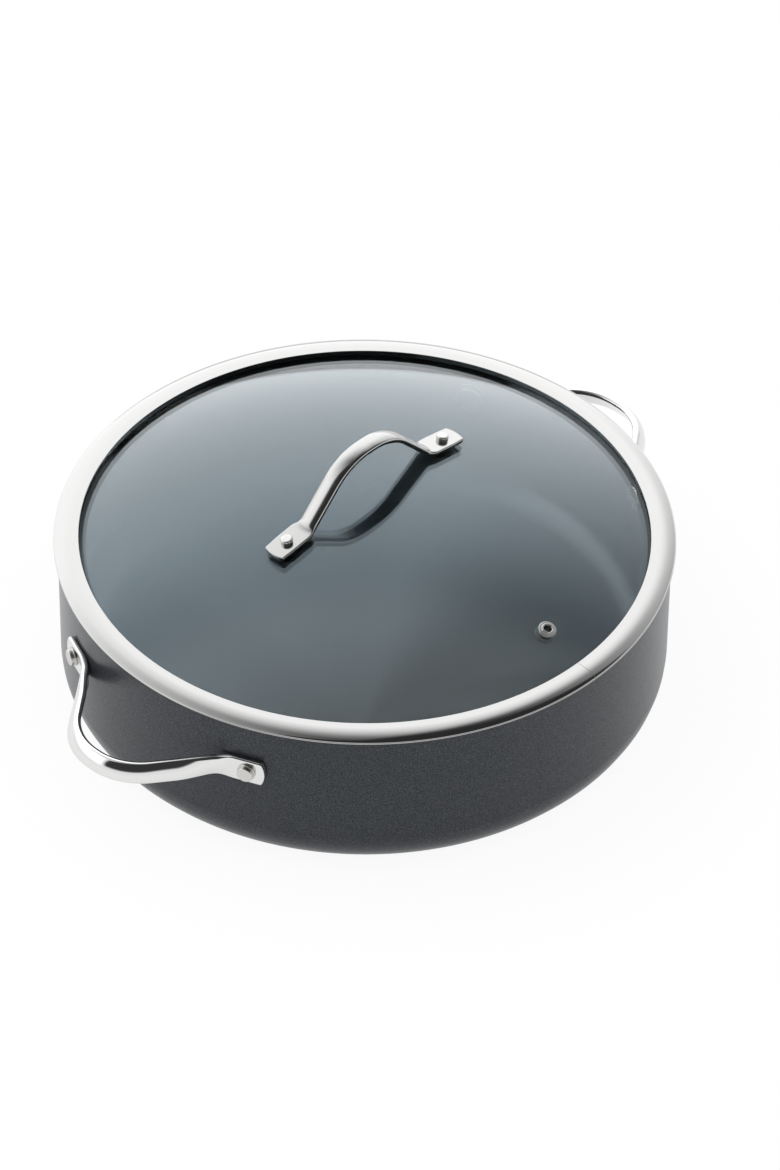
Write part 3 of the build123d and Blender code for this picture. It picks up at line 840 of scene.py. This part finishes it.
def strap_piece(name, at, length, face_way, widths, crowns, tilts, drops, finish, **sizes):
    """A strap along a path. Widths, crowns, tilts and drops are stops counted from each end."""
    rows = []
    for quarter in (-1, 0, 15, 30, 45, 60, 75, 90):
        turn = math.radians(max(quarter, 0))
        inset = end_rounding * (1 - math.sin(turn))
        rows.append((0, inset, end_rounding * (1 - math.cos(turn)), 0.0 if quarter < 0 else 1.0))
    start = end_rounding + end_gap
    steps = round((length - 2 * start) / row_step)
    middle = [(start + (length - 2 * start) * step / steps, 0, 0, 1.0) for step in range(steps + 1)]
    ends = [(length, inset, -slide, spread) for _, inset, slide, spread in reversed(rows)]
    fade = sizes.pop("fade")
    spots = []
    table = []
    for distance, inset, slide, spread in rows + middle + ends:
        spot, onward = at(distance)
        near = min(distance, length - distance)
        tilt = Matrix.Rotation(math.radians(easing(near, tilts)), 3, onward)
        outward = tilt @ face_way(onward).normalized()
        keep = easing(near, [(end_rounding, 1), (fade, 0)])
        spots.append(spot - Vector((0, 0, easing(near, drops))))
        table.append({
            "width": easing(near, widths) * MM,
            "crown": easing(near, crowns) * MM,
            "inset": inset * MM,
            "slide": slide * MM,
            "spread": spread,
            "rounded_end": math.copysign(keep, length / 2 - distance),
            "outward": outward,
            "sideways": onward.cross(outward),
            "onward": onward,
        })
    facts = {key: [line[key] for line in table] for key in table[0]}
    sides, corners = zip(*strap_outline())
    shape = host(name + "_outline", [(0, 0, 0)] * len(sides), side=sides, corner=corners)
    carrier = host(name + "_path", spots, **facts)
    inputs = {key: value * MM for key, value in sizes.items()}
    piece = grow(name, strap, carrier, Outline=shape, Finish=finish, **inputs)
    bpy.data.objects.remove(shape)
    return piece


# %% [markdown]
# ## The side handles
# Seen from above, the strap leaves its tab on the wall, turns outwards, and bends across in front. It
# stands on edge at the wall and leans back 30 degrees at the middle, where a hand lifts it. The left
# handle is the right one turned half round, so its path is the same one with X and Y reversed.

# %% Side handles
handle_height, tab_distance, rivet_distance, rivet_half_spacing = 60.2, 154.65, 156.2, 60.0
tab_overhang, bend_run, loop_corner = 9.3, 13.8, Vector((188.4, 16.9, 0))
tab_end, neck, lean_end = 16.2, 25.7, 45.7
rivet_angle = math.asin(rivet_half_spacing / rivet_distance)
across = Vector((math.cos(rivet_angle), math.sin(rivet_angle), 0))
along = Vector((-math.sin(rivet_angle), math.cos(rivet_angle), 0))
tab_spot = across * tab_distance
half = [tab_spot + along * tab_overhang, tab_spot - along * bend_run, loop_corner]
half += [Vector((point.x, -point.y, 0)) for point in reversed(half)]
loop_corners = [point + Vector((0, 0, handle_height)) for point in half]
for side_name, turn in (("right", 0), ("left", math.pi)):
    spin = Matrix.Rotation(turn, 3, "Z")
    at, length = bent_line([spin @ point for point in loop_corners], (19.0, 31.5, 31.5, 19.0))
    handle = strap_piece(
        f"side_handle_{side_name}_bent", at, length, lambda onward: Vector((0, 0, 1)).cross(onward),
        widths=[(tab_end, 14.0), (neck, 11.2), (length / 2, 10.6)],
        crowns=[(tab_end, 0.05), (neck, 1.4)],
        tilts=[(neck, 0), (lean_end, 22), (length / 2, 30)],
        drops=[(neck, 0), (lean_end, 1.15)],
        finish=handle_steel, Thickness=3.0, Rounding=1.2, End_Radius=12.0, fade=11.0,
    )
    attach(handle, "pan")
    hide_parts(f"side_handle_{side_name}")
    print("strap length", round(length, 1), "mm")

# %% [markdown]
# ## The side rivets
# Two rivets hold each handle. Outside they end in a collar and a short flat-faced head, and inside in
# a low dome. They are one turned profile, set out on four points with their axes.

# %% Side rivets
inner_head, inner_dome, shank, collar, collar_top, outer_head, head_top = 6.5, 2.2, 2.6, 4.7, 0.8, 4.1, 2.9
inner_top = math.sqrt(pan_inner**2 - inner_head**2) - 0.1 - rivet_distance
rivet_corners = [
    (0, inner_top - inner_dome, 0),
    (inner_head, inner_top - inner_dome, 1.2),
    (inner_head, inner_top, 0.1),
    (shank, inner_top, 0),
    (shank, 0.1, 0),
    (collar, 0.1, 0.05),
    (collar, collar_top, 0.25),
    (outer_head, collar_top, 0.1),
    (outer_head, head_top, 0.5),
    (0, head_top, 0),
]
rivet_places = []
for turn in (0, math.pi):
    for lean in (-rivet_angle, rivet_angle):
        way = Vector((math.cos(turn + lean), math.sin(turn + lean), 0))
        rivet_places.append((way * rivet_distance + Vector((0, 0, handle_height)), way))
rivets = set_out_piece("side_handle_rivets_set", rivet_corners, rivet_steel, rivet_places, 56, closed=False)
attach(rivets, "pan")
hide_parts(*[f"side_handle_{side}_rivet_{end}" for side in ("right", "left") for end in "ab"])

# %% [markdown]
# ## The lid glass
# The CAD solid of the dome already has its exact curve, its ground edge and its three bored holes, so
# it stays, and only takes the glass finish. The liner round its edge stays too.

# %% Lid glass and liner
for node_name, finish in (("lid_glass", glass), ("lid_rim_liner", liner_plastic)):
    for number in range(len(nodes[node_name].data.materials)):
        nodes[node_name].data.materials[number] = finish
    print(node_name, "takes", finish.name)

# %% [markdown]
# ## The rim band
# One steel sheet is rolled round the edge of the glass: a small lip on the glass, a crowned brim that
# lies on the pan, a hem at its edge, and a skirt that drops inside the pan. It is one closed
# cross-section on the lathe. The crown is what draws the light across the brim.

# %% Rim band
lip_radius, brim_radius, sheet, dome_rise = 142.5, 155.0, 0.7, 29.6
dome_radius = (lip_radius**2 + dome_rise**2) / (2 * dome_rise)
dome_centre = pan_height + dome_rise - dome_radius


def dome_height(radius, offset=0.0):
    return dome_centre + math.sqrt((dome_radius + offset) ** 2 - radius**2)


crown_corner, crown_round, lip_height = 150.4, 15.5, pan_height + 2.9
hem_inner, hem_height = brim_radius - 0.45, pan_height + 0.75
skirt_outer, skirt_inner, flange_inner, flange_offset = 149.2, 148.5, 144.0, -4.9
flange_high, flange_low = dome_height(flange_inner, flange_offset), dome_height(skirt_inner, flange_offset)
band_corners = [
    (lip_radius, dome_height(lip_radius, 0.1), 0.1),
    (lip_radius, lip_height, 0.3),
    (crown_corner, lip_height, crown_round),
    (hem_inner, hem_height, 0),
    (brim_radius, hem_height, 0.3),
    (brim_radius, pan_height, 0.3),
    (skirt_outer, pan_height, 0),
    (skirt_outer, flange_low - sheet, 0.3),
    (flange_inner, flange_high - sheet, 0),
    (flange_inner, flange_high, 0),
    (skirt_inner, flange_low, 0),
    (skirt_inner, pan_height + sheet, 0),
    (hem_inner - 3 * sheet, pan_height + sheet, 0),
    (crown_corner, lip_height - sheet, 0),
    (lip_radius + sheet, lip_height - sheet, 0),
    (lip_radius + sheet, dome_height(lip_radius + sheet, 0.1), 0.1),
]
band = lathe_piece("lid_rim_band_rolled", band_corners, rim_steel, columns=320, step=1.5)
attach(band, "lid")
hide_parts("lid_rim_band")

# %% [markdown]
# ## The lid handle
# A narrower strap, bent up into an arch. Its tabs lie parallel to the glass on their gaskets, so they
# lean outwards with the dome.

# %% Lid handle
lid_rivet, arch_foot, arch_corner = 54.7, 41.0, Vector((14.9, 0, 144.3))
tab_lift, lid_strap, lid_overhang = 1.3, 2.4, 10.4
shoulder, lid_neck = 19.8, 25.8
lean = math.asin(lid_rivet / dome_radius)
down_glass = Vector((math.cos(lean), 0, -math.sin(lean)))
off_glass = Vector((math.sin(lean), 0, math.cos(lean)))
tab_middle = Vector((lid_rivet, 0, dome_height(lid_rivet))) + off_glass * (tab_lift + lid_strap / 2)
foot_run = (lid_rivet - arch_foot) / math.cos(lean)
half = [tab_middle + down_glass * lid_overhang, tab_middle - down_glass * foot_run, arch_corner]
half += [Vector((-point.x, 0, point.z)) for point in reversed(half)]
at, length = bent_line(half, (7.0, 31.0, 31.0, 7.0))
lid_handle = strap_piece(
    "lid_handle_bent", at, length, lambda onward: Vector((0, 1, 0)).cross(onward),
    widths=[(0, 12.6), (lid_overhang, 13.2), (shoulder, 13.2), (lid_neck, 9.8)],
    crowns=[(shoulder, 0.05), (lid_neck, 1.0)],
    tilts=[(0, 0)],
    drops=[(0, 0)],
    finish=lid_steel, Thickness=lid_strap, Rounding=0.7, End_Radius=16.0, fade=8.0,
)
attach(lid_handle, "lid")
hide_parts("lid_handle")

# %% [markdown]
# ## Studs, gaskets and washers
# Each tab is held by a stud through the glass, with a gasket above, a gasket and a washer below.
# All four are set out at the two holes, along the normal of the dome there.

# %% Lid handle hardware
glass_thickness = 4.0
under_glass = -glass_thickness - 0.1
washer_top = under_glass - 1.2
foot_top = washer_top - 1.0
tab_top = tab_lift + lid_strap + 0.05
stud_radius, head_radius, stud_foot = 2.4, 3.05, 4.2
bore = stud_radius + 0.15


def ring_corners(inner, outer, bottom, top, rounding):
    return [(inner, bottom, 0.1), (outer, bottom, rounding), (outer, top, rounding), (inner, top, 0.1)]


def gasket_corners(inner, sleeve, outer, top, rounding):
    """A ring that lies on the glass, with a sleeve that lines the hole."""
    lining = [(inner, -glass_thickness, 0.1), (sleeve, -glass_thickness, 0.1), (sleeve, 0.1, 0)]
    return lining + ring_corners(inner, outer, 0.1, top, rounding)[1:]


stud_corners = [
    (0, foot_top - 1.6, 0),
    (stud_foot, foot_top - 1.6, 0.6),
    (stud_foot, foot_top, 0.1),
    (stud_radius, foot_top, 0),
    (stud_radius, tab_top, 0),
    (head_radius, tab_top, 0),
    (head_radius, tab_top + 2.6, 0.9),
    (0, tab_top + 2.6, 0),
]
lid_places = []
for side in (1, -1):
    spot = Vector((side * lid_rivet, 0, dome_height(lid_rivet)))
    lid_places.append((spot, Vector((side * math.sin(lean), 0, math.cos(lean)))))
hardware = [
    ("rivet", "lid_handle_studs_set", stud_corners, rivet_steel, "rivet_steel", False),
    ("upper_gasket", "lid_handle_upper_gaskets_set",
     gasket_corners(bore, 3.45, 5.0, 1.2, 0.3), silicone, "silicone", True),
    ("lower_gasket", "lid_handle_lower_gaskets_set",
     ring_corners(bore, 7.0, washer_top, under_glass, 0.3), silicone, "silicone", True),
    ("lower_washer", "lid_handle_lower_washers_set",
     ring_corners(bore, 6.4, foot_top, washer_top, 0.25), small_steel, "hardware_steel", True),
]
for node_end, name, corners, finish, slot_name, closed in hardware:
    piece = set_out_piece(name, corners, finish, lid_places, 48, closed)
    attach(piece, "lid")
    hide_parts(f"lid_handle_right_{node_end}", f"lid_handle_left_{node_end}")

# %% [markdown]
# ## The steam vent
# A small steel eyelet is clenched through the glass with a milky gasket, so that steam can leave. Its
# collar has two steps, and they catch the light as two thin rings.

# %% Steam vent
vent_radius = 120.4
vent_lean = math.asin(vent_radius / dome_radius)
vent_turn = Matrix.Rotation(math.radians(-88.7), 3, "Z")
vent_spot = Vector((vent_radius, 0, dome_height(vent_radius)))
vent_axis = Vector((math.sin(vent_lean), 0, math.cos(vent_lean)))
vent_places = [(vent_turn @ vent_spot, vent_turn @ vent_axis)]
tube_inner, tube_outer, flange_bottom = 2.05, 2.6, 1.0
vent_washer_top = under_glass - 0.9
vent_foot_top = vent_washer_top - 0.7
vent_foot, collar_radius, ring_radius = 3.9, 4.5, 3.1
vent_bore = tube_outer + 0.15
flange_top = flange_bottom + 0.75
eyelet_corners = [
    (tube_inner, vent_foot_top - 0.55, 0.1),
    (vent_foot, vent_foot_top - 0.55, 0.1),
    (vent_foot, vent_foot_top, 0.1),
    (tube_outer, vent_foot_top, 0),
    (tube_outer, flange_bottom, 0),
    (collar_radius, flange_bottom, 0.25),
    (collar_radius, flange_top, 0.4),
    (ring_radius, flange_top, 0.15),
    (ring_radius, flange_top + 0.6, 0.42),
    (tube_inner, flange_top + 0.6, 0.5),
]
vent_hardware = [
    ("eyelet", eyelet_corners, small_steel, "hardware_steel"),
    ("gasket", gasket_corners(vent_bore, 3.55, 4.1, flange_bottom, 0.2), milky, "vent_silicone"),
    ("lower_gasket", ring_corners(vent_bore, 5.2, vent_washer_top, under_glass, 0.3), milky, "vent_silicone"),
    ("lower_washer",
     ring_corners(vent_bore, 4.9, vent_foot_top, vent_washer_top, 0.25), small_steel, "hardware_steel"),
]
for node_end, corners, finish, slot_name in vent_hardware:
    piece = set_out_piece(f"steam_vent_{node_end}_set", corners, finish, vent_places, 64)
    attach(piece, "lid")
    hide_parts(f"steam_vent_{node_end}")

# %% [markdown]
# ## Closing
# The view transform stays plain, so that white is white. The sizes of the boxes of the CAD model and of
# the finished pieces are printed.

# %% Close
bpy.context.scene.view_settings.view_transform = "Standard"
visual_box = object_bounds()
sizes = {"cad": [list(corner) for corner in cad_box], "visual": [list(corner) for corner in visual_box]}
for name, box in sizes.items():
    print(name, "size in mm:", [round((high - low) / MM, 1) for low, high in zip(*box)])
